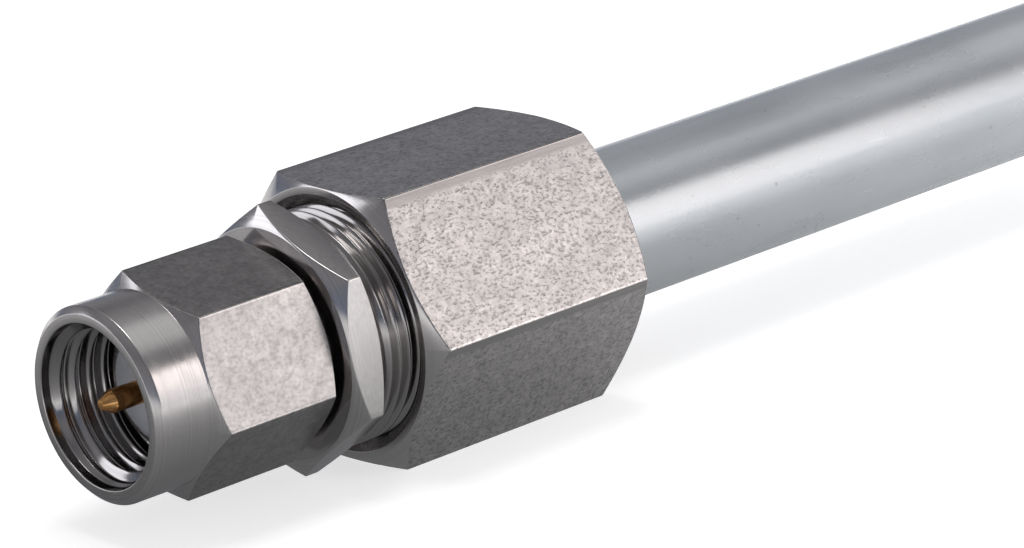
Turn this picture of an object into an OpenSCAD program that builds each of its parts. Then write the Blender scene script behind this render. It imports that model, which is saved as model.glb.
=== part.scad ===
// Coaxial screw-on plug with a clamp nut, on a straight length of semi-rigid cable.
// The axis lies along X. X = 0 is the plane that meets the mating half, and the cable leaves
// towards +X. Z is up, and the clamp nut lies on one of its flats.

/* [Mating face] */
// Outer diameter of the sleeve that enters the mating half
sleeve_d = 4.57; // [3.8:0.01:5.5]
// Wall of the sleeve
sleeve_wall = 0.235; // [0.15:0.005:0.35]
// Length of the sleeve ahead of the gasket's step
sleeve_l = 1.95; // [1.6:0.05:2.4]
// Diameter of the bare end of the centre pin
pin_d = 0.92; // [0.76:0.01:1.12]
// Reach of the centre pin ahead of the mating plane
pin_reach = 2.35; // [1.9:0.05:2.85]
// Diameter of the flat at the pin's tip
pin_tip_d = 0.36; // [0.2:0.02:0.5]
// Length of the pin's taper
pin_taper_l = 0.5; // [0.3:0.05:0.7]

/* [Gasket and neck] */
// Height of the gasket's step above the sleeve
gasket_step = 0.215; // [0.17:0.005:0.3]
// Length of the step that carries the gasket
gasket_step_l = 0.5; // [0.4:0.05:0.7]
// Radial width of the gasket
gasket_w = 0.5; // [0.4:0.02:0.6]
// Gap that lets the gasket sit free on its step
gasket_gap = 0.02; // [0.01:0.01:0.05]
// Height of the neck above the gasket's step
neck_step = 0.28; // [0.22:0.01:0.34]
// Distance from the gasket's seat to the retaining ring's groove
groove_behind_seat = 1.05; // [0.8:0.05:1.3]
// Width of the retaining ring's groove
groove_w = 0.45; // [0.4:0.05:0.6]
// Depth of the groove in the neck
neck_groove_depth = 0.32; // [0.25:0.01:0.36]
// Depth of the groove in the nut's bore
nut_groove_depth = 0.46; // [0.4:0.01:0.5]
// Thickness of the retaining ring along the axis
ring_t = 0.3; // [0.25:0.05:0.35]
// Width of the split in the retaining ring
ring_split = 1.6; // [0.8:0.1:2.4]
// Clearance between the retaining ring and its grooves
ring_clearance = 0.05; // [0.03:0.01:0.08]

/* [Coupling nut] */
// Distance that the nut's mouth stands ahead of the mating plane
mouth_ahead = 2.65; // [2.1:0.05:3.2]
// Clearance between the gasket and the roots of the nut's thread
thread_over_gasket = 0.2; // [0.15:0.01:0.3]
// Step from the thread's roots up to the recess at the mouth
mouth_step = 0.075; // [0.05:0.005:0.15]
// Depth of the recess at the mouth
mouth_depth = 0.4; // [0.2:0.05:0.7]
// Wall of the round skirt at the mouth
skirt_wall = 0.645; // [0.5:0.005:0.9]
// Length of the skirt, from the mouth to the hexagon's corners
skirt_l = 2.95; // [2.45:0.05:3.55]
// Chamfer on the outer edge of the mouth
mouth_chamfer = 0.26; // [0.1:0.02:0.35]
// Height of the hexagon's flats above the skirt
flat_step = 0.04875; // [0.04:0.00125:0.85]
// Length of the hexagon between its corners
coupling_hex_l = 5.1; // [4.2:0.05:6.15]
// Plain length between the nut's thread and its groove
thread_to_groove = 0.6; // [0.45:0.05:0.8]
// Radial running clearance of the coupling nut on the neck
neck_clearance = 0.07; // [0.03:0.01:0.1]
// Turn of the coupling nut, from +Y towards +Z
coupling_turn = 13; // [0:1:59]

/* [Body] */
// Axial play of the coupling nut ahead of the body's hexagon
nut_play = 0.32; // [0.1:0.02:0.4]
// Height of the hexagon's flats above the rear thread's crests
body_flat_step = 0.0125; // [0:0.0125:0.8]
// Length of the hexagon between its corners
body_hex_l = 0.6; // [0.5:0.02:1]
// Turn of the hexagon, from +Y towards +Z
body_turn = 23; // [0:1:59]
// Length of the rear thread
rear_thread_l = 6; // [4.95:0.05:7.15]
// Height of the rear thread's crests above its roots
rear_thread_h = 0.3; // [0.24:0.01:0.36]
// Chamfer at the open end of the thread
thread_chamfer = 0.3; // [0.1:0.05:0.5]
// Length of the rear socket that takes the cable and its ferrule
socket_l = 4.7; // [3.9:0.05:4.9]
// Wall between the rear socket and the roots of the thread
socket_wall = 0.8; // [0.64:0.02:1]
// Distance from the hexagon's front face to the step in the bore
step_behind_face = 0.315; // [0.2:0.005:0.6]
// Length of the rear insulator
rear_insulator_l = 1.5; // [1:0.05:1.8]

/* [Centre contact] */
// Diameter of the contact inside the front insulator
line_d = 1.27; // [1.15:0.01:1.55]
// Wall of the solder cup
cup_wall = 0.305; // [0.2:0.005:0.45]
// Distance from the front insulator to the solder cup
cup_behind_step = 0.175; // [0.1:0.005:0.4]
// Thickness of the solder cup's floor
cup_floor = 0.45; // [0.3:0.05:0.7]
// Distance from the cup's floor to the end of the wire
wire_gap = 0.2; // [0.1:0.05:0.4]
// Diameter of the inspection hole in the solder cup
cup_hole_d = 0.5; // [0.3:0.05:0.7]
// Radial running clearance of the contact in its insulators
contact_clearance = 0.03; // [0.02:0.01:0.08]

/* [Clamp nut] */
// Length of the hexagon between its corners
clamp_hex_l = 10.42; // [8.6:0.02:12.6]
// Length of body thread left showing ahead of the clamp nut
thread_showing = 1.48; // [0.9:0.02:1.8]
// Clearance between the two halves of the rear thread
thread_clearance = 0.05; // [0.03:0.01:0.08]
// Wall between the thread's roots and the flats
clamp_wall = 0.75625; // [0.6:0.00625:1.5]
// Countersink at the mouth
clamp_sink = 0.4; // [0.2:0.02:0.5]
// Countersink where the cable leaves
exit_chamfer = 0.35; // [0.1:0.05:0.6]

/* [Cable and ferrule] */
// Outer diameter of the cable's metal tube
cable_d = 6.35; // [5.3:0.01:7.65]
// Wall of the cable's metal tube
tube_wall = 0.52; // [0.4:0.01:0.7]
// Diameter of the cable's centre conductor
conductor_d = 1.63; // [1.35:0.01:1.96]
// Length of cable showing behind the clamp nut
cable_showing = 33.5; // [20:0.5:60]
// Wall of the ferrule's sleeve
ferrule_wall = 0.375; // [0.25:0.005:0.5]
// Distance that the ferrule's flange stays inside the roots of the thread
flange_inset = 0.07; // [0.05:0.01:0.3]
// Thickness of the ferrule's flange
flange_t = 1.3; // [1:0.05:1.8]
// Distance from the socket's floor to the cut end of the cable
cable_gap = 0.3; // [0.15:0.05:0.5]
// Gap that the solder fills
solder_gap = 0.03; // [0.02:0.01:0.06]
// Radial clearance of sliding metal parts
slide_clearance = 0.07; // [0.04:0.01:0.1]
// Gap at faces that seat against each other
seat_gap = 0.05; // [0.02:0.01:0.1]
// Gap around pieces pushed home for good
snug = 0.01; // [0.005:0.005:0.02]

/* [Hidden] */

$fn = 96;
HEX = 6;
chamfer_angle = 30; // of the cones that trim a hexagon's corners
edge = 0.1;         // small turned edge breaks
over = 0.5;         // how far a cutting shape runs past what it cuts

steel = [0.63, 0.62, 0.62];
dark_steel = [0.52, 0.52, 0.54];
gold = [0.83, 0.62, 0.25];
ptfe = [0.90, 0.90, 0.88];
silicone = [0.24, 0.24, 0.25];
spring_bronze = [0.70, 0.55, 0.30];
tin = [0.66, 0.68, 0.71];
silver_plate = [0.78, 0.76, 0.72];

// Axial run of a corner chamfer, from the face to where it meets the hexagon's corner
function corner_r(af) = af / 2 / cos(30);
function chamfer_run(af, face_d) = (corner_r(af) - face_d / 2) * tan(chamfer_angle);

// Diameters, from the mating sleeve out to the coupling nut
line_bore_d = sleeve_d - 2 * sleeve_wall;
gasket_land_d = sleeve_d + 2 * gasket_step;
gasket_d = gasket_land_d + 2 * gasket_w;
neck_d = gasket_land_d + 2 * neck_step;
neck_bore_d = neck_d + 2 * neck_clearance;
coupling_root_d = gasket_d + 2 * thread_over_gasket;
mouth_d = coupling_root_d + 2 * mouth_step;
skirt_d = mouth_d + 2 * skirt_wall;
coupling_af = skirt_d + 2 * flat_step;
coupling_face_d = skirt_d + 0.06;

// Diameters, from the cable out to the clamp nut
tube_bore_d = cable_d - 2 * tube_wall;
cable_bore_d = cable_d + 2 * slide_clearance;
ferrule_d = cable_d + 2 * (solder_gap + ferrule_wall);
socket_d = ferrule_d + 2 * slide_clearance;
rear_root_d = socket_d + 2 * socket_wall;
rear_crest_d = rear_root_d + 2 * rear_thread_h;
flange_d = rear_root_d - 2 * flange_inset;
clamp_root_d = rear_crest_d + 2 * thread_clearance;
clamp_af = clamp_root_d + 2 * clamp_wall;
clamp_face_d = clamp_af - 0.1125;
body_af = rear_crest_d + 2 * body_flat_step;
body_face_d = body_af - 0.14;
cup_bore_d = conductor_d + 2 * solder_gap;
cup_d = cup_bore_d + 2 * cup_wall;

// Coupling nut stations
mouth_x = -mouth_ahead;
coupling_corner_1 = mouth_x + skirt_l;
coupling_corner_2 = coupling_corner_1 + coupling_hex_l;
coupling_rear_x = coupling_corner_2 + chamfer_run(coupling_af, coupling_face_d);

// Gasket, groove and ring stations
seat_x = sleeve_l + gasket_step_l;
groove_1 = seat_x + groove_behind_seat;
groove_2 = groove_1 + groove_w;
thread_end_x = groove_1 - thread_to_groove;
ring_in_d = neck_d - 2 * neck_groove_depth + 2 * ring_clearance;
ring_out_d = neck_bore_d + 2 * nut_groove_depth - 2 * ring_clearance;

// Body stations
body_face_1 = coupling_rear_x + nut_play;
body_corner_1 = body_face_1 + chamfer_run(body_af, body_face_d);
body_corner_2 = body_corner_1 + body_hex_l;
body_face_2 = body_corner_2 + chamfer_run(body_af, body_face_d);
body_end = body_face_2 + rear_thread_l;
socket_x = body_end - socket_l;
step_x = body_face_1 + step_behind_face;

// Clamp nut stations
clamp_face_1 = body_face_2 + thread_showing;
clamp_corner_1 = clamp_face_1 + chamfer_run(clamp_af, clamp_face_d);
clamp_corner_2 = clamp_corner_1 + clamp_hex_l;
clamp_face_2 = clamp_corner_2 + chamfer_run(clamp_af, clamp_face_d);

// Ferrule and cable stations
flange_1 = body_end + seat_gap;
flange_2 = flange_1 + flange_t;
clamp_shoulder = flange_2 + seat_gap;
cable_front = socket_x + cable_gap;
cable_end = clamp_face_2 + cable_showing;

// Contact stations
cup_end = cable_front - 2 * seat_gap;
cup_start = step_x + cup_behind_step;
cup_floor_x = cup_start + cup_floor;
wire_x = cup_floor_x + wire_gap;

// Solid of revolution about X, from [radius, x] points
module turned(profile) {
    rotate([0, 90, 0]) rotate_extrude() polygon(profile);
}

// Plain ring about X between two stations
module ring(outer_d, inner_d, x_1, x_2) {
    turned([[inner_d / 2, x_1], [outer_d / 2, x_1], [outer_d / 2, x_2], [inner_d / 2, x_2]]);
}

// Hexagonal bar about X, its corners trimmed by a cone at each end
module trimmed_hexagon(af, corner_1, corner_2, face_d, turn) {
    run = chamfer_run(af, face_d);
    past = over * tan(chamfer_angle);
    wide = corner_r(af) + over;
    intersection() {
        translate([corner_1 - run, 0, 0])
            rotate([0, 90, 0])
                rotate([0, 0, turn + 90])
                    cylinder(r = corner_r(af), h = corner_2 - corner_1 + 2 * run, $fn = HEX);
        turned([
            [0, corner_1 - run], [face_d / 2, corner_1 - run], [wide, corner_1 + past],
            [wide, corner_2 - past], [face_d / 2, corner_2 + run], [0, corner_2 + run]
        ]);
    }
}

// Screw-on nut: round skirt, trimmed hexagon, threaded hole and grooved rear bore
module coupling_nut() {
    skirt_r = skirt_d / 2;
    root_r = coupling_root_d / 2;
    neck_r = neck_bore_d / 2;
    groove_r = neck_r + nut_groove_depth;
    color(steel) difference() {
        union() {
            turned([
                [0, mouth_x], [skirt_r - mouth_chamfer, mouth_x], [skirt_r, mouth_x + mouth_chamfer],
                [skirt_r, coupling_corner_1], [0, coupling_corner_1]
            ]);
            trimmed_hexagon(coupling_af, coupling_corner_1, coupling_corner_2,
                coupling_face_d, coupling_turn);
        }
        turned([
            [0, mouth_x - over], [mouth_d / 2, mouth_x - over], [mouth_d / 2, mouth_x + mouth_depth],
            [root_r, mouth_x + mouth_depth + (mouth_d / 2 - root_r)], [root_r, thread_end_x],
            [neck_r, thread_end_x + (root_r - neck_r) / 2], [neck_r, groove_1], [groove_r, groove_1],
            [groove_r, groove_2], [neck_r, groove_2], [neck_r, coupling_rear_x - edge],
            [neck_r + edge + over, coupling_rear_x + over], [0, coupling_rear_x + over]
        ]);
    }
}

// Split spring ring that holds the coupling nut on the body
module retaining_ring() {
    ring_1 = (groove_1 + groove_2 - ring_t) / 2;
    color(spring_bronze) difference() {
        ring(ring_out_d, ring_in_d, ring_1, ring_1 + ring_t);
        translate([ring_1 - over, -ring_split / 2, -ring_out_d])
            cube([ring_t + 2 * over, ring_split, ring_out_d]);
    }
}

// Soft ring against the body's shoulder, squeezed by the mating half
module face_gasket() {
    color(silicone)
        ring(gasket_d, gasket_land_d + 2 * gasket_gap, sleeve_l, seat_x - gasket_gap);
}

// Turned body: mating sleeve, gasket step, grooved neck, hexagon, rear thread and stepped bore
module connector_body() {
    sleeve_r = sleeve_d / 2;
    neck_r = neck_d / 2;
    groove_r = neck_r - neck_groove_depth;
    root_r = rear_root_d / 2;
    socket_r = socket_d / 2;
    step_r = tube_bore_d / 2;
    color(dark_steel) difference() {
        union() {
            turned([
                [0, 0], [sleeve_r - edge, 0], [sleeve_r, edge], [sleeve_r, sleeve_l],
                [gasket_land_d / 2, sleeve_l], [gasket_land_d / 2, seat_x], [neck_r, seat_x],
                [neck_r, groove_1], [groove_r, groove_1], [groove_r, groove_2],
                [neck_r, groove_2], [neck_r, body_corner_1], [0, body_corner_1]
            ]);
            trimmed_hexagon(body_af, body_corner_1, body_corner_2, body_face_d, body_turn);
            turned([
                [0, body_corner_2], [root_r, body_corner_2], [root_r, body_end - thread_chamfer],
                [root_r - thread_chamfer, body_end], [0, body_end]
            ]);
        }
        turned([
            [0, -over], [line_bore_d / 2, -over], [line_bore_d / 2, step_x], [step_r, step_x],
            [step_r, socket_x], [socket_r, socket_x], [socket_r, body_end + over],
            [0, body_end + over]
        ]);
    }
}

// Bush that fills the line bore and steadies the contact
module front_insulator() {
    color(ptfe)
        ring(line_bore_d - 2 * snug, line_d + 2 * contact_clearance, 0, step_x);
}

// Bead behind the step that steadies the solder cup
module rear_insulator() {
    bead_1 = step_x + snug;
    color(ptfe)
        ring(tube_bore_d - 2 * snug, cup_d + 2 * contact_clearance, bead_1,
            bead_1 + rear_insulator_l);
}

// Plated pin with a tapered tip, and a drilled cup that is soldered to the cable's conductor
module centre_contact() {
    cup_bore_r = cup_bore_d / 2;
    color(gold) difference() {
        turned([
            [0, -pin_reach], [pin_tip_d / 2, -pin_reach], [pin_d / 2, pin_taper_l - pin_reach],
            [pin_d / 2, 0], [line_d / 2, 0], [line_d / 2, cup_start], [cup_d / 2 - edge, cup_start],
            [cup_d / 2, cup_start + edge], [cup_d / 2, cup_end], [cup_bore_r, cup_end],
            [cup_bore_r, cup_floor_x], [0, cup_floor_x]
        ]);
        translate([wire_x + cup_hole_d, 0, 0]) cylinder(d = cup_hole_d, h = cup_d, $fn = 48);
    }
}

// Long nut that draws the ferrule against the body
module clamp_nut() {
    root_r = clamp_root_d / 2;
    bore_r = cable_bore_d / 2;
    color(steel) difference() {
        trimmed_hexagon(clamp_af, clamp_corner_1, clamp_corner_2, clamp_face_d, 0);
        turned([
            [0, clamp_face_1 - over], [root_r + clamp_sink + over, clamp_face_1 - over],
            [root_r, clamp_face_1 + clamp_sink], [root_r, clamp_shoulder], [bore_r, clamp_shoulder],
            [bore_r, clamp_face_2 - exit_chamfer], [bore_r + exit_chamfer + over, clamp_face_2 + over],
            [0, clamp_face_2 + over]
        ]);
    }
}

// Flanged sleeve soldered to the cable's outer conductor
module solder_ferrule() {
    bore_r = cable_d / 2 + solder_gap;
    color(silver_plate)
        turned([
            [bore_r, cable_front], [ferrule_d / 2 - edge, cable_front],
            [ferrule_d / 2, cable_front + edge], [ferrule_d / 2, flange_1], [flange_d / 2, flange_1],
            [flange_d / 2, flange_2 - edge], [flange_d / 2 - edge, flange_2], [bore_r, flange_2]
        ]);
}

// Metal tube of the cable, cut square at both ends
module cable_outer_conductor() {
    color(tin) ring(cable_d, tube_bore_d, cable_front, cable_end);
}

// Solid insulation inside the tube
module cable_dielectric() {
    color(ptfe)
        ring(tube_bore_d - 2 * snug, conductor_d + 2 * snug, cable_front, cable_end);
}

// Solid wire on the cable's axis, bared where it enters the contact
module cable_centre_conductor() {
    color(silver_plate)
        turned([
            [0, wire_x], [conductor_d / 2 - edge, wire_x], [conductor_d / 2, wire_x + edge],
            [conductor_d / 2, cable_end], [0, cable_end]
        ]);
}

coupling_nut();
retaining_ring();
face_gasket();
connector_body();
front_insulator();
rear_insulator();
centre_contact();
clamp_nut();
solder_ferrule();
cable_outer_conductor();
cable_dielectric();
cable_centre_conductor();
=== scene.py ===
"""Finish, lights and camera of a coaxial screw-on plug on a straight piece of semi-rigid cable.

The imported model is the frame. The axis lies along X and the cable leaves towards +X. The two
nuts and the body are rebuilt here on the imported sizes, because their threads are helical ridges
and their edges are rounded. Lengths are in millimetres until they reach Blender, in metres.
"""
from math import atan2, ceil, cos, floor, pi, radians, sin, sqrt, tan

import bpy
import bmesh
from mathutils import Matrix, Vector


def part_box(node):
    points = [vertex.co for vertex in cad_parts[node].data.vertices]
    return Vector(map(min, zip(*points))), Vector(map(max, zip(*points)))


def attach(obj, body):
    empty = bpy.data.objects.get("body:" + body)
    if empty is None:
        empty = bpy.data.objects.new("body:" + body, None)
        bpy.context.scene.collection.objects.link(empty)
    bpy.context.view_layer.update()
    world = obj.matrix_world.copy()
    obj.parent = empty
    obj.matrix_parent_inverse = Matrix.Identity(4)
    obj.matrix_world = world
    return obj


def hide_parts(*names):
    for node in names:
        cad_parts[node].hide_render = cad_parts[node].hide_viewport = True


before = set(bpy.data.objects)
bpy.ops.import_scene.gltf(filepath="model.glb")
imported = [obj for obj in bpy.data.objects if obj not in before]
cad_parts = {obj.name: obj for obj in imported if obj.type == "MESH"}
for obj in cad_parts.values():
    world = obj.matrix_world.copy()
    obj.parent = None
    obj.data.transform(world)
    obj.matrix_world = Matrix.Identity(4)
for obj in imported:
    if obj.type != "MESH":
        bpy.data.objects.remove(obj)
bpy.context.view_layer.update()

MM = 0.001
TAU = 2 * pi
TINY = 1e-9


def span(node, axis):
    """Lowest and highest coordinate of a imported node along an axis, in millimetres."""
    low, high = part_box(node)
    return low[axis] / MM, high[axis] / MM


# ---- Sizes, from the frame ----
MOUTH_X, COUPLING_REAR = span("coupling_nut", 0)
CLAMP_1, CLAMP_2 = span("clamp_nut", 0)
BODY_FRONT, BODY_END = span("connector_body", 0)
FLOOR_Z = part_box("clamp_nut")[0][2]

# ---- Hexagons: half the width across the flats, the radius of the end faces, the turn in
# degrees of one corner from +Y towards +Z, and the rounding of the long corners ----
COUPLING_FLAT, COUPLING_FACE, COUPLING_TURN, COUPLING_CORNER = 3.96875, 3.95, 13, 0.09
BODY_FLAT, BODY_FACE, BODY_TURN, BODY_CORNER = 4.7625, 4.6925, 23, 0.08
CLAMP_FLAT, CLAMP_FACE, CLAMP_TURN, CLAMP_CORNER = 5.55625, 5.5, 0, 0.1
CHAMFER = radians(30)

# ---- Coupling nut ----
SKIRT_R, MOUTH_CHAMFER = 3.92, 0.26
HEX_START = 0.3
MOUTH_R, MOUTH_DEPTH = 3.275, 0.4
NECK_BORE_R, NECK_BORE_CHAMFER, GROOVE_R, GROOVE_1, GROOVE_2 = 2.85, 0.1, 3.31, 3.5, 3.95
RELIEF_END = 2.9
STEP_BACK = 0.02  # from a corner to the points on both sides of it

# ---- Body ----
SLEEVE_R, LINE_BORE_R, SLEEVE_END = 2.285, 2.05, 1.95
LAND_R, SEAT_X, NECK_R, NECK_GROOVE_R = 2.5, 2.45, 2.78, 2.46
NUT_PLAY, THREAD_SHOWING, SOCKET_DEPTH = 0.32, 1.48, 4.7
BODY_HEX_1, BODY_HEX_2 = COUPLING_REAR + NUT_PLAY, CLAMP_1 - THREAD_SHOWING
STEP_X, STEP_R = span("front_insulator", 0)[1], 2.655
SOCKET_X, SOCKET_R = BODY_END - SOCKET_DEPTH, 3.65
OPEN_END_CHAMFER = 0.3

# ---- Clamp nut ----
FLANGE_ROOM = 1.4
SINK_R, SHOULDER_X, CABLE_BORE_R, EXIT_CHAMFER = 5.2, BODY_END + FLANGE_ROOM, 3.245, 0.35

# ---- Threads: pitch, crest and root radius, where they start and end, and where a ridge
# crosses +Y behind the start ----
FINE_PITCH, FINE_CREST, FINE_ROOT, FINE_END = 25.4 / 36, 2.83, 3.2, 1.75
FINE_START = 0.1
REAR_PITCH, REAR_START, REAR_UNDERCUT, CLAMP_RELIEF = 0.5, 0.13, 0.12, 0.9
BODY_CREST, BODY_ROOT = 4.75, 4.45
CLAMP_CREST, CLAMP_ROOT = 4.49, 4.8
THREAD_GAP = 0.03

# ---- Sampling: steps along a flat and a hexagon's corner, points on a rounded edge, and the
# most that the rounding takes of the shorter side ----
FLAT_STEPS = 26
CORNER_STEPS = 6
EDGE_POINTS = 4
ROUNDING_SHARE = 0.45
FLANK_PARTS = (0.3, 0.5, 0.7, 0.88)


# ======================================================================================
# Pieces of revolution whose radius depends on the angle
# ======================================================================================

def corner_arc(flat, corner):
    """Distance of a corner arc's centre from the axis, and half the angle that the arc takes."""
    reach = (flat - corner) / cos(radians(30))
    return reach, atan2(corner * sin(pi / 6), reach + corner * cos(pi / 6))


def hexagon(flat, turn, corner):
    """Radius of a hexagon with rounded corners, as a function of the angle from +Y.

    One corner lies at the turn, in degrees from +Y towards +Z.
    """
    reach, half = corner_arc(flat, corner)

    def radius(angle):
        away = (angle - radians(turn)) % (pi / 3) - pi / 6
        to_corner = pi / 6 - abs(away)
        if to_corner < half:
            return reach * cos(to_corner) + sqrt(corner ** 2 - (reach * sin(to_corner)) ** 2)
        return flat / cos(away)

    return radius


def columns(flat, turn, corner):
    """Angles round the axis, close together at the hexagon's corners."""
    half = corner_arc(flat, corner)[1]
    angles = []
    for side in range(6):
        middle = radians(turn) + pi / 6 + side * pi / 3
        widest = tan(pi / 6 - half)
        for step in range(FLAT_STEPS + 1):
            angles.append(middle + atan2((2 * step / FLAT_STEPS - 1) * widest, 1))
        for step in range(1, CORNER_STEPS):
            angles.append(middle + pi / 6 - half + 2 * half * step / CORNER_STEPS)
    return sorted(angle % TAU for angle in angles)


def rounded(corners):
    """Closed outline through (x, radius, rounding, material) corners, each one rounded.

    The material is that of the stretch that follows the corner.
    """
    outline = []
    count = len(corners)
    for i, (x, r, rounding, material) in enumerate(corners):
        here = Vector((x, r))
        before = Vector(corners[i - 1][:2]) - here
        after = Vector(corners[(i + 1) % count][:2]) - here
        if before.length < TINY or after.length < TINY:
            outline.append((x, r, material))
            continue
        bend = pi - before.angle(after)
        most = ROUNDING_SHARE * min(before.length, after.length)
        reach = min(rounding * tan(bend / 2), most)
        start = here + before.normalized() * reach
        end = here + after.normalized() * reach
        for step in range(EDGE_POINTS):
            t = step / (EDGE_POINTS - 1)
            point = start * (1 - t) ** 2 + here * 2 * t * (1 - t) + end * t ** 2
            outline.append((point.x, point.y, material))
    return outline


class Helix:
    """A thread inside an outline: the same profile in each pitch, shifted round the axis."""

    def __init__(self, x_1, x_2, pitch, phase, profile, limit, material, backwards=False):
        self.x_1, self.x_2, self.pitch, self.phase = x_1, x_2, pitch, phase
        self.profile, self.limit, self.material = profile, limit, material
        self.backwards = backwards
        self.first = floor((x_1 - phase) / pitch) - 1
        self.last = ceil((x_2 - phase) / pitch) + 1

    def points(self, turn):
        """Outline points at a part of a turn from 0 to 1, from low x to high x."""
        found = []
        for k in range(self.first, self.last):
            for share, radius in self.profile:
                x = self.phase + self.pitch * (k + share + turn)
                x = min(max(x, self.x_1), self.x_2)
                found.append((x, self.limit(x, radius), self.material))
        return found[::-1] if self.backwards else found

    def next_turn(self, index, count):
        """Where a point of the last column goes in the first one."""
        shift = -len(self.profile) if self.backwards else len(self.profile)
        return min(max(index + shift, 0), count - 1)


def ridge(crest, root, crest_width, pitch, gap=0.0):
    """Profile of one pitch, from the middle of a ridge, as (share of the pitch, radius).

    The flanks stand at 30 degrees. The points close to the crest and the root round them off.
    """
    run = abs(crest - root) * tan(radians(30))
    half = crest_width / 2 - gap
    corners = [0, half * 0.6, half, half + run * 0.12]
    shape = [crest, crest, crest + (root - crest) * 0.04, crest + (root - crest) * 0.14]
    for part in FLANK_PARTS:
        corners.append(half + run * part)
        shape.append(crest + (root - crest) * (part + 0.02))
    corners += [half + run, half + run * 1.1]
    shape += [crest + (root - crest) * 0.97, root]
    up = list(zip(corners, shape))
    down = [(pitch - along, radius) for along, radius in reversed(up[1:])]
    return [(along / pitch, radius) for along, radius in up + [(pitch / 2, root)] + down]


class Places:
    """Vertices of a mesh, each place once, in metres."""

    DIGITS = 8

    def __init__(self):
        self.places, self.known = [], {}

    def index(self, x, r, angle):
        """Number of the vertex at a radius and an angle round the X axis."""
        place = (x * MM, r * cos(angle) * MM, r * sin(angle) * MM)
        key = tuple(round(value, self.DIGITS) for value in place)
        if key not in self.known:
            self.known[key] = len(self.places)
            self.places.append(place)
        return self.known[key]


def in_order(ring, runs, seam):
    """Vertices of a column in order, shifted by one turn in each thread at the seam."""
    found = []
    for run, points in zip(runs, ring):
        for index in range(len(points)):
            at_seam = seam and isinstance(run, Helix)
            found.append(points[run.next_turn(index, len(points)) if at_seam else index])
    return found


def stitched(rings, runs):
    """Faces between neighbouring columns, and the material name of each."""
    faces, kinds = [], []
    for column in range(len(rings)):
        here = in_order(rings[column], runs, False)
        there = in_order(rings[(column + 1) % len(rings)], runs, column == len(rings) - 1)
        for i in range(len(here)):
            j = (i + 1) % len(here)
            corners = list(dict.fromkeys((here[i][0], here[j][0], there[j][0], there[i][0])))
            if len(corners) > 2:
                faces.append(corners)
                kinds.append(here[i][1])
    return faces, kinds


def revolve(name, angles, section, materials, flat, turn):
    """Mesh of a closed outline carried round the X axis. section(angle) lists runs of points.

    The attribute "across" holds how far a point lies from the middle of its flat.
    """
    vertices = Places()
    rings = []
    for angle in angles:
        ring = []
        for run in section(angle):
            points = run.points(angle / TAU) if isinstance(run, Helix) else run
            ring.append([(vertices.index(x, r, angle), material) for x, r, material in points])
        rings.append(ring)
    faces, kinds = stitched(rings, section(angles[0]))

    names = list(materials)
    data = bpy.data.meshes.new(name)
    data.from_pydata(vertices.places, [], faces)
    for material in materials.values():
        data.materials.append(material)
    data.polygons.foreach_set("material_index", [names.index(kind) for kind in kinds])
    data.polygons.foreach_set("use_smooth", [True] * len(faces))
    across = data.attributes.new("across", "FLOAT", "POINT")
    across.data.foreach_set("value", [
        flat * tan((atan2(z, y) - radians(turn)) % (pi / 3) - pi / 6)
        for x, y, z in vertices.places
    ])
    mesh = bmesh.new()
    mesh.from_mesh(data)
    bmesh.ops.recalc_face_normals(mesh, faces=mesh.faces)
    mesh.to_mesh(data)
    mesh.free()
    piece = bpy.data.objects.new(name, data)
    bpy.context.scene.collection.objects.link(piece)
    piece.modifiers.new("edge_shading", "WEIGHTED_NORMAL").keep_sharp = False
    return piece


# ======================================================================================
# Materials
# ======================================================================================

class Nodes:
    """Emptied node tree of a material or a world."""

    def __init__(self, owner):
        owner.use_nodes = True
        self.owner, self.tree = owner, owner.node_tree
        self.tree.nodes.clear()

    def add(self, kind, **settings):
        made = self.tree.nodes.new(kind)
        for key, value in settings.items():
            setattr(made, key, value)
        return made

    def link(self, source, target):
        self.tree.links.new(source, target)

    def math(self, operation, first, second):
        made = self.add("ShaderNodeMath", operation=operation)
        for slot, value in zip(made.inputs, (first, second)):
            if isinstance(value, (int, float)):
                slot.default_value = value
            else:
                self.link(value, slot)
        return made.outputs[0]

    def ramp(self, source, stops):
        """Colour ramp from (position, colour) stops."""
        made = self.add("ShaderNodeValToRGB")
        ramp = made.color_ramp
        while len(ramp.elements) < len(stops):
            ramp.elements.new(1.0)
        for element, (position, colour) in zip(ramp.elements, stops):
            element.position = position
            element.color = (*colour, 1.0)
        self.link(source, made.inputs["Fac"])
        return made.outputs["Color"]

    def levels(self, source, low, high, out_low, out_high):
        """Maps a value from one range to another."""
        made = self.add("ShaderNodeMapRange")
        for name, value in (("From Min", low), ("From Max", high),
                            ("To Min", out_low), ("To Max", out_high)):
            made.inputs[name].default_value = value
        self.link(source, made.inputs["Value"])
        return made.outputs["Result"]


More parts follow.
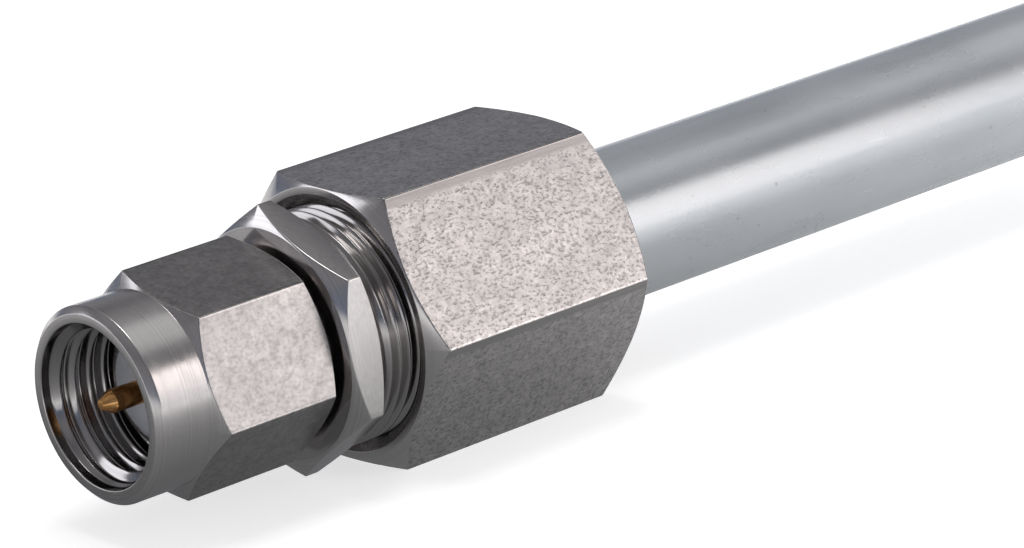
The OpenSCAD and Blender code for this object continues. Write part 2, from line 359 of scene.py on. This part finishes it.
class Graph(Nodes):
    """Node helpers for one material of the object."""

    def __init__(self, name):
        super().__init__(bpy.data.materials.new(name))
        output = self.add("ShaderNodeOutputMaterial")
        self.shader = self.add("ShaderNodeBsdfPrincipled")
        self.link(self.shader.outputs["BSDF"], output.inputs["Surface"])
        place = self.add("ShaderNodeTexCoord").outputs["Object"]
        scaled = self.add("ShaderNodeVectorMath", operation="SCALE")
        scaled.inputs["Scale"].default_value = 1 / MM
        self.link(place, scaled.inputs[0])
        self.place = scaled.outputs[0]

    def noise(self, scale, detail=3.0, stretch=(1, 1, 1), place=None, rough=0.55):
        """Noise with about that many cells to a millimetre."""
        mapping = self.add("ShaderNodeMapping")
        mapping.inputs["Scale"].default_value = stretch
        self.link(place or self.place, mapping.inputs["Vector"])
        made = self.add("ShaderNodeTexNoise")
        made.inputs["Scale"].default_value = scale
        made.inputs["Detail"].default_value = detail
        made.inputs["Roughness"].default_value = rough
        self.link(mapping.outputs[0], made.inputs["Vector"])
        return made.outputs["Fac"]

    def turned_place(self):
        """Coordinates that change only along a turned surface: x, then distance from the axis."""
        split = self.add("ShaderNodeSeparateXYZ")
        self.link(self.place, split.inputs[0])
        square = self.math("ADD", self.math("MULTIPLY", split.outputs[1], split.outputs[1]),
                           self.math("MULTIPLY", split.outputs[2], split.outputs[2]))
        joined = self.add("ShaderNodeCombineXYZ")
        self.link(split.outputs[0], joined.inputs[0])
        self.link(self.math("SQRT", square, 0.0), joined.inputs[1])
        return joined.outputs[0]

    def mix(self, factor, first, second, blend="MIX"):
        """Colour between two colours, or their product with blend MULTIPLY."""
        made = self.add("ShaderNodeMix", data_type="RGBA", blend_type=blend)
        for name, value in (("Factor", factor), ("A", first), ("B", second)):
            slot = next(s for s in made.inputs if s.name == name and s.enabled)
            if isinstance(value, tuple):
                slot.default_value = (*value, 1.0)
            elif isinstance(value, (int, float)):
                slot.default_value = value
            else:
                self.link(value, slot)
        return next(s for s in made.outputs if s.enabled)

    def bump(self, heights):
        """Bump from (height value, depth in millimetres) layers."""
        normal = None
        for source, depth in heights:
            made = self.add("ShaderNodeBump")
            made.inputs["Strength"].default_value = 1.0
            made.inputs["Distance"].default_value = depth * MM
            self.link(source, made.inputs["Height"])
            if normal:
                self.link(normal, made.inputs["Normal"])
            normal = made.outputs["Normal"]
        self.link(normal, self.shader.inputs["Normal"])

    def finish(self, metallic, roughness, colour):
        """Sets the shader from a number, a number or a value, and a colour value."""
        self.shader.inputs["Metallic"].default_value = metallic
        if isinstance(roughness, float):
            self.shader.inputs["Roughness"].default_value = roughness
        else:
            self.link(roughness, self.shader.inputs["Roughness"])
        self.link(colour, self.shader.inputs["Base Color"])
        return self.owner


STEEL = (0.62, 0.595, 0.585)


def tint(colour, factor):
    """Colour made darker or paler by a factor."""
    return tuple(channel * factor for channel in colour)


# Width of the smoother band at a flat's long corners and its share of the roughness, and how
# far the edge of the drawn strip fades either way.
CORNER_BAND, CORNER_ROUGHNESS = 0.12, 0.45
STRIP_BLEND = 0.08


def grained_steel(name, flat, steel, grain, pit, painted_pit_shade, roughness, edge_band=0.0):
    """Flat of a hexagon: drawn bar with a fine grain, and small pits where the grain is deep.

    grain is in cells to a millimetre and pit a depth in millimetres; the argument after pit says
    how much darker a pit is painted, which is painted shade in the pits. The rounded corners are
    smoother than the flats. edge_band is the width of a smoother drawn strip along one side of
    each flat.
    """
    graph = Graph(name)
    fine = graph.noise(grain, 1.5, (0.8, 1, 1), rough=0.55)
    mottled = graph.noise(2.4, 2.0)
    floor_of_pits = graph.levels(fine, 0.27, 0.50, 0.0, 1.0)
    broad = graph.noise(0.5, 3.0, (0.4, 1, 1))
    drawn = graph.noise(9.0, 2.0, (0.05, 1, 1))
    patchy = graph.math("ADD", fine, graph.levels(broad, 0.3, 0.7, -0.03, 0.03))
    # Painted shade: where the grain is deep the pits are coloured darker
    colour = graph.ramp(patchy, [
        (0.34, tint(steel, 1 - painted_pit_shade)), (0.46, tint(steel, 0.92)), (0.62, tint(steel, 1.04)),
    ])
    mottle = graph.ramp(mottled, [(0.3, (0.84, 0.84, 0.84)), (0.7, (1.10, 1.10, 1.10))])
    colour = graph.mix(1.0, colour, mottle, "MULTIPLY")
    rough = graph.levels(broad, 0.3, 0.7, roughness - 0.04, roughness + 0.04)
    across = graph.add("ShaderNodeAttribute", attribute_name="across").outputs["Fac"]
    half = flat * tan(pi / 6)
    corner = graph.levels(graph.math("ABSOLUTE", across, 0.0), half - CORNER_BAND,
                          half - CORNER_BAND / 2, 1.0, CORNER_ROUGHNESS)
    rough = graph.math("MULTIPLY", rough, corner)
    if edge_band:
        edge = half - edge_band
        inside = graph.levels(across, -edge - STRIP_BLEND, -edge + STRIP_BLEND, 0.0, 1.0)
        strip = graph.ramp(drawn, [(0.3, tint(steel, 0.62)), (0.7, tint(steel, 0.78))])
        colour = graph.mix(inside, strip, colour)
        floor_of_pits = graph.mix(inside, (1.0, 1.0, 1.0), floor_of_pits)
    graph.bump([(floor_of_pits, pit), (fine, 0.0012), (drawn, 0.0008)])
    return graph.finish(1.0, rough, colour)


def turned_steel(name, roughness, depth=0.0012, colour=STEEL, lines=11.0):
    """Turned surface: fine tool marks that run round the axis."""
    graph = Graph(name)
    around = graph.turned_place()
    marks = graph.noise(lines, 4.0, place=around, rough=0.7)
    broad = graph.noise(1.3, 2.0, place=around)
    patches = graph.noise(1.1, 3.0)
    shade = graph.ramp(marks, [(0.25, tint(colour, 0.84)), (0.7, tint(colour, 1.05))])
    rough = graph.levels(graph.math("ADD", broad, patches), 0.7, 1.3,
                         roughness - 0.05, roughness + 0.07)
    graph.bump([(marks, depth), (patches, 0.0006)])
    return graph.finish(1.0, rough, shade)


def gold_plate():
    """Warm gold with faint turned marks."""
    graph = Graph("gold_plate")
    around = graph.turned_place()
    marks = graph.noise(14.0, 3.0, place=around)
    patches = graph.noise(2.4, 3.0)
    colour = graph.ramp(patches, [(0.3, (0.66, 0.33, 0.11)), (0.7, (0.84, 0.47, 0.19))])
    graph.bump([(marks, 0.0002)])
    return graph.finish(1.0, graph.levels(marks, 0.3, 0.7, 0.14, 0.22), colour)


def ptfe():
    """White plastic with turned marks."""
    graph = Graph("ptfe")
    around = graph.turned_place()
    marks = graph.noise(8.0, 3.0, place=around)
    clouds = graph.noise(1.0, 3.0)
    colour = graph.ramp(clouds, [(0.3, (0.70, 0.73, 0.78)), (0.7, (0.80, 0.82, 0.85))])
    graph.bump([(marks, 0.003)])
    return graph.finish(0.0, graph.levels(marks, 0.3, 0.7, 0.38, 0.55), colour)


def silicone():
    """Dark, matt rubber."""
    graph = Graph("silicone")
    grain = graph.noise(6.0, 3.0)
    colour = graph.ramp(grain, [(0.3, (0.06, 0.06, 0.065)), (0.7, (0.09, 0.09, 0.095))])
    graph.bump([(grain, 0.004)])
    return graph.finish(0.0, 0.55, colour)


def drawn_metal(name, colour, roughness):
    """Plain plated or drawn metal, with faint length-wise marks."""
    graph = Graph(name)
    marks = graph.noise(7.0, 3.0, (0.1, 1, 1))
    clouds = graph.noise(0.8, 3.0)
    shade = graph.ramp(clouds, [(0.3, tint(colour, 0.9)), (0.7, tint(colour, 1.04))])
    rough = graph.levels(clouds, 0.3, 0.7, roughness - 0.04, roughness + 0.05)
    graph.bump([(marks, 0.0015)])
    return graph.finish(1.0, rough, shade)


def tube_metal():
    """Cable's tube: matt plated metal with long draw marks, clouds, small pits and scratches."""
    graph = Graph("cable_metal")
    clouds = graph.noise(0.35, 4.0, (0.5, 1, 1))
    drawn = graph.noise(6.0, 3.0, (0.05, 1, 1))
    pits = graph.noise(2.6, 2.0, (0.7, 1, 1))
    scratches = graph.noise(1.6, 2.0, (0.25, 2.5, 2.5))
    base = graph.ramp(clouds, [(0.3, (0.63, 0.665, 0.69)), (0.7, (0.70, 0.73, 0.75))])
    spots = graph.ramp(pits, [(0.22, (0.72, 0.72, 0.72)), (0.29, (1.0, 1.0, 1.0))])
    lines = graph.ramp(scratches, [(0.70, (1.0, 1.0, 1.0)), (0.76, (1.12, 1.12, 1.12))])
    marked = graph.mix(1.0, graph.mix(1.0, base, spots, "MULTIPLY"), lines, "MULTIPLY")
    graph.bump([(drawn, 0.001), (clouds, 0.012), (pits, 0.002)])
    return graph.finish(0.55, graph.levels(clouds, 0.3, 0.7, 0.24, 0.31), marked)


# ======================================================================================
# The object
# ======================================================================================

def coupling_nut(metals):
    """Round skirt, hexagon and threaded hole of the nut that screws onto the mating half."""
    flat_radius = hexagon(COUPLING_FLAT, COUPLING_TURN, COUPLING_CORNER)
    crest_width = FINE_PITCH / 8 + 2 * THREAD_GAP
    profile = ridge(FINE_CREST, FINE_ROOT, crest_width, FINE_PITCH, THREAD_GAP)
    thread_1 = MOUTH_X + MOUTH_DEPTH + MOUTH_R - FINE_ROOT

    def limit(x, radius):
        mouth = FINE_ROOT - (x - thread_1)
        run_out = FINE_ROOT - (FINE_END - x)
        return min(max(radius, mouth, run_out), FINE_ROOT)

    phase = thread_1 + FINE_START
    thread = Helix(thread_1, FINE_END, FINE_PITCH, phase, profile, limit, "thread", True)
    corner_run = (COUPLING_FLAT / cos(pi / 6) - COUPLING_FACE) * tan(CHAMFER)
    hex_1 = HEX_START - corner_run
    shoulder = hex_1 + (SKIRT_R - COUPLING_FACE) * tan(CHAMFER)

    def section(angle):
        side = flat_radius(angle)
        run = (side - COUPLING_FACE) * tan(CHAMFER)
        outer = rounded([
            (MOUTH_X, MOUTH_R, 0.05, "turned"),
            (MOUTH_X, SKIRT_R - MOUTH_CHAMFER, 0.08, "turned"),
            (MOUTH_X + MOUTH_CHAMFER, SKIRT_R, 0.08, "turned"),
            (shoulder - STEP_BACK, SKIRT_R, 0.03, "turned"),
            (hex_1 + run, side, 0.05, "flat"),
            (COUPLING_REAR - run, side, 0.05, "turned"),
            (COUPLING_REAR, COUPLING_FACE, 0.05, "turned"),
            (COUPLING_REAR, NECK_BORE_R + NECK_BORE_CHAMFER, 0.03, "turned"),
            (COUPLING_REAR - NECK_BORE_CHAMFER, NECK_BORE_R, 0.03, "turned"),
            (GROOVE_2, NECK_BORE_R, 0.02, "turned"),
            (GROOVE_2, GROOVE_R, 0.02, "turned"),
            (GROOVE_1, GROOVE_R, 0.02, "turned"),
            (GROOVE_1, NECK_BORE_R, 0.02, "turned"),
            (RELIEF_END + (FINE_ROOT - NECK_BORE_R) / 2, NECK_BORE_R, 0.02, "turned"),
            (RELIEF_END, FINE_ROOT, 0.02, "thread"),
        ])
        cone = MOUTH_X + MOUTH_DEPTH
        mouth = [(thread_1 - STEP_BACK, FINE_ROOT + STEP_BACK, "bore"),
                 (cone + STEP_BACK, MOUTH_R - STEP_BACK, "bore"),
                 (cone - STEP_BACK, MOUTH_R, "bore")]
        return [outer, thread, mouth]

    angles = columns(COUPLING_FLAT, COUPLING_TURN, COUPLING_CORNER)
    piece = revolve("coupling_nut_finish", angles, section, metals,
                    COUPLING_FLAT, COUPLING_TURN)
    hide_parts("coupling_nut")
    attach(piece, "coupling_nut")


def connector_body(metals):
    """Mating sleeve, neck, hexagon and rear thread."""
    flat_radius = hexagon(BODY_FLAT, BODY_TURN, BODY_CORNER)
    thread_1, thread_2 = BODY_HEX_2 + REAR_UNDERCUT, BODY_END
    profile = ridge(BODY_CREST, BODY_ROOT, REAR_PITCH / 8, REAR_PITCH)
    end_r = BODY_ROOT - OPEN_END_CHAMFER

    def limit(x, radius):
        return min(radius, BODY_ROOT + (x - thread_1), end_r + (thread_2 - x))

    phase = BODY_HEX_2 + REAR_START
    thread = Helix(thread_1, thread_2, REAR_PITCH, phase, profile, limit, "thread")

    def section(angle):
        side = flat_radius(angle)
        run = (side - BODY_FACE) * tan(CHAMFER)
        before = rounded([
            (BODY_FRONT, LINE_BORE_R, 0.02, "turned"),
            (BODY_FRONT, SLEEVE_R, 0.1, "turned"),
            (SLEEVE_END, SLEEVE_R, 0.02, "turned"),
            (SLEEVE_END, LAND_R, 0.03, "turned"),
            (SEAT_X, LAND_R, 0.02, "turned"),
            (SEAT_X, NECK_R, 0.03, "turned"),
            (GROOVE_1, NECK_R, 0.02, "turned"),
            (GROOVE_1, NECK_GROOVE_R, 0.02, "turned"),
            (GROOVE_2, NECK_GROOVE_R, 0.02, "turned"),
            (GROOVE_2, NECK_R, 0.02, "turned"),
            (BODY_HEX_1, NECK_R, 0.02, "smooth"),
            (BODY_HEX_1, BODY_FACE, 0.04, "smooth"),
            (BODY_HEX_1 + run, side, 0.07, "smooth"),
            (BODY_HEX_2 - run, side, 0.07, "smooth"),
            (BODY_HEX_2, BODY_FACE, 0.04, "smooth"),
            (BODY_HEX_2, BODY_ROOT, 0.02, "thread"),
        ])
        after = rounded([
            (BODY_END, SOCKET_R, 0.03, "turned"),
            (SOCKET_X, SOCKET_R, 0.02, "turned"),
            (SOCKET_X, STEP_R, 0.03, "turned"),
            (STEP_X, STEP_R, 0.02, "turned"),
            (STEP_X, LINE_BORE_R, 0.03, "turned"),
        ])
        return [before, thread, after]

    angles = columns(BODY_FLAT, BODY_TURN, BODY_CORNER)
    piece = revolve("connector_body_finish", angles, section, metals,
                    BODY_FLAT, BODY_TURN)
    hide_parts("connector_body")
    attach(piece, "connector")


def clamp_nut(metals):
    """Long hexagon nut with a threaded socket and a bore for the cable."""
    flat_radius = hexagon(CLAMP_FLAT, CLAMP_TURN, CLAMP_CORNER)
    thread_1, thread_2 = CLAMP_1 + SINK_R - CLAMP_ROOT, SHOULDER_X - CLAMP_RELIEF
    groove = REAR_PITCH / 8 + 2 * THREAD_GAP
    crest_width = REAR_PITCH - groove - 2 * (CLAMP_ROOT - CLAMP_CREST) * tan(CHAMFER)
    profile = ridge(CLAMP_CREST, CLAMP_ROOT, crest_width, REAR_PITCH)

    def limit(x, radius):
        mouth = CLAMP_ROOT - (x - thread_1)
        run_out = CLAMP_ROOT - (thread_2 - x)
        return min(max(radius, mouth, run_out), CLAMP_ROOT)

    phase = BODY_HEX_2 + REAR_START + REAR_PITCH / 2
    thread = Helix(thread_1, thread_2, REAR_PITCH, phase, profile, limit, "thread", True)

    def section(angle):
        side = flat_radius(angle)
        run = (side - CLAMP_FACE) * tan(CHAMFER)
        outer = rounded([
            (CLAMP_1, SINK_R, 0.04, "turned"),
            (CLAMP_1, CLAMP_FACE, 0.05, "turned"),
            (CLAMP_1 + run, side, 0.08, "flat"),
            (CLAMP_2 - run, side, 0.08, "turned"),
            (CLAMP_2, CLAMP_FACE, 0.05, "turned"),
            (CLAMP_2, CABLE_BORE_R + EXIT_CHAMFER, 0.05, "turned"),
            (CLAMP_2 - EXIT_CHAMFER, CABLE_BORE_R, 0.05, "turned"),
            (SHOULDER_X, CABLE_BORE_R, 0.02, "turned"),
            (SHOULDER_X, CLAMP_ROOT, 0.02, "turned"),
        ])
        return [outer, thread]

    angles = columns(CLAMP_FLAT, CLAMP_TURN, CLAMP_CORNER)
    piece = revolve("clamp_nut_finish", angles, section, metals, CLAMP_FLAT, CLAMP_TURN)
    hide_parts("clamp_nut")
    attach(piece, "clamp_nut")


WELD_REACH = 1e-7
SHARP_EDGE = radians(28)


def finish_node(name, material, bevel):
    """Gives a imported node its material, rounds its sharp edges and smooths its shading."""
    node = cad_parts[name]
    node.data.materials.clear()
    node.data.materials.append(material)
    for polygon in node.data.polygons:
        polygon.use_smooth = True
    weld = node.modifiers.new("weld", "WELD")
    weld.merge_threshold = WELD_REACH
    edges = node.modifiers.new("edges", "BEVEL")
    edges.width = bevel * MM
    edges.segments = 2
    edges.limit_method = "ANGLE"
    edges.angle_limit = SHARP_EDGE
    edges.use_clamp_overlap = True
    node.modifiers.new("edge_shading", "WEIGHTED_NORMAL").keep_sharp = False


# ======================================================================================
# Stage, lights and camera
# ======================================================================================

# Stage sizes, in metres: the flat floor, its curved rim and the rings of the mesh
FLOOR_R, RIM_BEND, RIM_H = 2.0, 0.1, 0.13
FLOOR_RINGS = (0.05, 0.3, FLOOR_R)
ROUND_STEPS, RIM_STEPS = 96, 6
FLOOR_WHITE, FLOOR_LIFT = (0.80, 0.80, 0.80), 0.66

# Painted shadow: a dark card on the floor, seen only in reflections, glowing dimly in place of
# the
# shade under the nuts: brightness, colour, place, height over the floor and the radii of its
# mesh, of the even part and of the edge
SHADOW_CARD_LEVEL, SHADOW_CARD_COLOUR = 0.15, (0.92, 0.95, 1.0)
CARD_PLACE, CARD_RAISE = (0.000, 0.008), 0.00002
CARD_RING, CARD_FULL, CARD_END = 0.01, 0.008, 0.080


def white_stage():
    """Matt white that the camera, gloss and glass see as white, and that keeps shadows."""
    nodes = Nodes(bpy.data.materials.new("stage_white"))
    matt = nodes.add("ShaderNodeBsdfDiffuse")
    matt.inputs["Color"].default_value = (*FLOOR_WHITE, 1.0)
    path = nodes.add("ShaderNodeLightPath")
    seen = nodes.math("MAXIMUM", path.outputs["Is Camera Ray"], path.outputs["Is Glossy Ray"])
    seen = nodes.math("MAXIMUM", seen, path.outputs["Is Transmission Ray"])
    glow = nodes.add("ShaderNodeEmission")
    nodes.link(nodes.math("MULTIPLY", seen, FLOOR_LIFT), glow.inputs["Strength"])
    total = nodes.add("ShaderNodeAddShader")
    nodes.link(matt.outputs[0], total.inputs[0])
    nodes.link(glow.outputs[0], total.inputs[1])
    nodes.link(total.outputs[0], nodes.add("ShaderNodeOutputMaterial").inputs["Surface"])
    return nodes.owner


def sweep_mesh(name, rings, material):
    """Smooth surface of revolution about Z, closed in the middle, from (radius, height) rings."""
    mesh = bmesh.new()
    turns = [TAU * i / ROUND_STEPS for i in range(ROUND_STEPS)]
    loops = []
    for radius, height in rings:
        loops.append([
            mesh.verts.new((radius * cos(turn), radius * sin(turn), height)) for turn in turns
        ])
    for low, high in zip(loops, loops[1:]):
        for i in range(ROUND_STEPS):
            j = (i + 1) % ROUND_STEPS
            mesh.faces.new((low[i], low[j], high[j], high[i])).smooth = True
    mesh.faces.new(loops[0])
    data = bpy.data.meshes.new(name)
    mesh.to_mesh(data)
    mesh.free()
    made = bpy.data.objects.new(name, data)
    bpy.context.scene.collection.objects.link(made)
    data.materials.append(material)
    return made


def floor_and_backdrop():
    """Pale floor with a low curved rim, so that the view stays white down to the horizon."""
    rings = [(radius, FLOOR_Z) for radius in FLOOR_RINGS]
    for step in range(1, RIM_STEPS + 1):
        turn = radians(90 * step / RIM_STEPS)
        rings.append((FLOOR_R + RIM_BEND * sin(turn), FLOOR_Z + RIM_BEND * (1 - cos(turn))))
    rings.append((FLOOR_R + RIM_BEND, FLOOR_Z + RIM_H))
    sweep_mesh("floor", rings, white_stage())


def make_painted_shadow():
    """Painted shadow, seen only in reflections: a dark card under the nuts that fades out at its
    edge.
    """
    nodes = Nodes(bpy.data.materials.new("painted_shadow"))
    clear = nodes.add("ShaderNodeBsdfTransparent")
    # Painted shadow: a dim dark glow stands in for the shade under the object
    dark = nodes.add("ShaderNodeEmission")
    dark.inputs["Color"].default_value = (*SHADOW_CARD_COLOUR, 1.0)
    dark.inputs["Strength"].default_value = SHADOW_CARD_LEVEL
    away = nodes.add("ShaderNodeVectorMath", operation="LENGTH")
    nodes.link(nodes.add("ShaderNodeTexCoord").outputs["Object"], away.inputs[0])
    mix = nodes.add("ShaderNodeMixShader")
    fade = nodes.levels(away.outputs["Value"], CARD_FULL, CARD_END, 0.0, 1.0)
    nodes.link(fade, mix.inputs["Fac"])
    nodes.link(dark.outputs[0], mix.inputs[1])
    nodes.link(clear.outputs[0], mix.inputs[2])
    nodes.link(mix.outputs[0], nodes.add("ShaderNodeOutputMaterial").inputs["Surface"])
    card = sweep_mesh("card", [(CARD_RING, 0.0), (CARD_END, 0.0)], nodes.owner)
    card.location = (*CARD_PLACE, FLOOR_Z + CARD_RAISE)
    card.visible_camera = False
    card.visible_diffuse = False
    card.visible_shadow = False
    card.visible_transmission = False


LIGHT_AIM = (0.01, 0.0, 0.0)


def direction(azimuth, elevation):
    """Unit vector towards an azimuth and elevation in degrees."""
    flat = cos(radians(elevation))
    return Vector((flat * cos(radians(azimuth)), flat * sin(radians(azimuth)),
                   sin(radians(elevation))))


def area_light(name, azimuth, elevation, distance, width, height, radiance, colour):
    """Soft box that faces the object, in degrees and metres.

    Its strength is given as the brightness that is seen in a mirror.
    """
    light = bpy.data.lights.new(name, "AREA")
    light.shape = "RECTANGLE"
    light.size, light.size_y = width, height
    light.energy = radiance * width * height * pi
    light.color = colour
    made = bpy.data.objects.new(name, light)
    bpy.context.scene.collection.objects.link(made)
    away = direction(azimuth, elevation)
    made.location = Vector(LIGHT_AIM) + away * distance
    made.rotation_euler = away.to_track_quat("Z", "Y").to_euler()


def lights():
    """A soft box to the right, a cooler one behind to the left, two overhead, one at the end."""
    area_light("key_light", -52, 17.5, 0.35, 0.16, 0.19, 2.0, (1.0, 0.935, 0.905))
    area_light("back_light", 133, 23, 0.40, 0.23, 0.12, 1.6, (0.93, 0.94, 1.0))
    area_light("side_light", -20, 60, 0.50, 0.27, 0.27, 0.34, (1.0, 1.0, 1.0))
    area_light("top_light", 0, 90, 0.50, 0.20, 0.20, 4.5, (1.0, 1.0, 1.0))
    area_light("end_light", 8, 22, 0.40, 0.18, 0.16, 2.6, (1.0, 1.0, 1.0))


# Brightness of the studio by the sine of the height: 0 at the horizon, 1 straight up.
SKY = [
    (0.04, (0.11, 0.155, 0.25)), (0.28, (0.24, 0.24, 0.262)), (0.42, (0.245, 0.245, 0.262)),
    (0.60, (0.15, 0.15, 0.163)), (0.78, (0.27, 0.27, 0.28)), (1.0, (0.34, 0.34, 0.35)),
]


def surroundings():
    """Dark studio all round: blue at the horizon, a paler band over it, palest overhead."""
    nodes = Nodes(bpy.data.worlds.new("studio"))
    bpy.context.scene.world = nodes.owner
    split = nodes.add("ShaderNodeSeparateXYZ")
    nodes.link(nodes.add("ShaderNodeTexCoord").outputs["Generated"], split.inputs[0])
    glow = nodes.add("ShaderNodeBackground")
    nodes.link(nodes.ramp(split.outputs["Z"], SKY), glow.inputs["Color"])
    nodes.link(glow.outputs[0], nodes.add("ShaderNodeOutputWorld").inputs["Surface"])


# Camera: degrees, millimetres from the aim point, and the lens in millimetres
CAMERA_AZIMUTH, CAMERA_ELEVATION, CAMERA_ROLL = -130.806, 18.009, -4.627
CAMERA_DISTANCE = 184.616
CAMERA_AIM = (7.466, -12.829, 4.931)
CAMERA_LENS = 177.09
SENSOR = 36
CLIP = (0.01, 10)


def camera():
    """Long lens from the front left, a little above, tilted slightly."""
    data = bpy.data.cameras.new("camera")
    data.lens, data.sensor_width = CAMERA_LENS, SENSOR
    data.clip_start, data.clip_end = CLIP
    made = bpy.data.objects.new("camera", data)
    bpy.context.scene.collection.objects.link(made)
    away = direction(CAMERA_AZIMUTH, CAMERA_ELEVATION)
    level = Vector((0, 0, 1)).cross(away).normalized()
    upright = away.cross(level)
    roll = radians(CAMERA_ROLL)
    right = level * cos(roll) + upright * sin(roll)
    up = upright * cos(roll) - level * sin(roll)
    turn = Matrix((right, up, away)).transposed().to_4x4()
    place = (Vector(CAMERA_AIM) + away * CAMERA_DISTANCE) * MM
    made.matrix_world = Matrix.Translation(place) @ turn
    bpy.context.scene.camera = made


# ======================================================================================
# Build
# ======================================================================================

camera()
floor_and_backdrop()
make_painted_shadow()
lights()
surroundings()
bpy.context.scene.view_settings.view_transform = "Standard"

coupling_nut({
    "flat": grained_steel("coupling_flat", COUPLING_FLAT, tint(STEEL, 0.72),
                          grain=7.0, pit=0.0006, painted_pit_shade=0.2, roughness=0.31),
    "turned": turned_steel("coupling_turned", 0.22, 0.0003),
    # Painted shade: the bore and the fine thread inside the mouth are tinted darker than the nut
    "bore": turned_steel("coupling_bore", 0.14, 0.0006, tint(STEEL, 0.74)),
    "thread": turned_steel("coupling_thread_metal", 0.12, 0.0006, tint(STEEL, 0.78)),
})
connector_body({
    "smooth": turned_steel("body_smooth", 0.16, 0.0006),
    "turned": turned_steel("body_turned", 0.26),
    # Painted shade: the rear thread is tinted darker for the shade between the hexagon and the
    # clamp nut
    "thread": turned_steel("body_thread_metal", 0.13, 0.0004, tint(STEEL, 0.70)),
})
clamp_nut({
    "flat": grained_steel("clamp_flat", CLAMP_FLAT, tint(STEEL, 0.93),
                          grain=7.5, pit=0.0034, painted_pit_shade=0.36, roughness=0.32, edge_band=0.45),
    "turned": turned_steel("clamp_turned", 0.18, 0.0006),
    "thread": turned_steel("clamp_thread_metal", 0.24),
})
finish_node("retaining_ring", drawn_metal("spring_bronze", (0.62, 0.42, 0.20), 0.35), 0.03)
finish_node("face_gasket", silicone(), 0.06)
insulation = ptfe()
finish_node("front_insulator", insulation, 0.02)
finish_node("rear_insulator", insulation, 0.03)
finish_node("centre_contact", gold_plate(), 0.02)
finish_node("solder_ferrule", drawn_metal("silver_plate", (0.72, 0.70, 0.66), 0.3), 0.03)
finish_node("cable_outer_conductor", tube_metal(), 0.05)
finish_node("cable_dielectric", insulation, 0.03)
finish_node("cable_centre_conductor", drawn_metal("wire", (0.75, 0.66, 0.58), 0.3), 0.03)
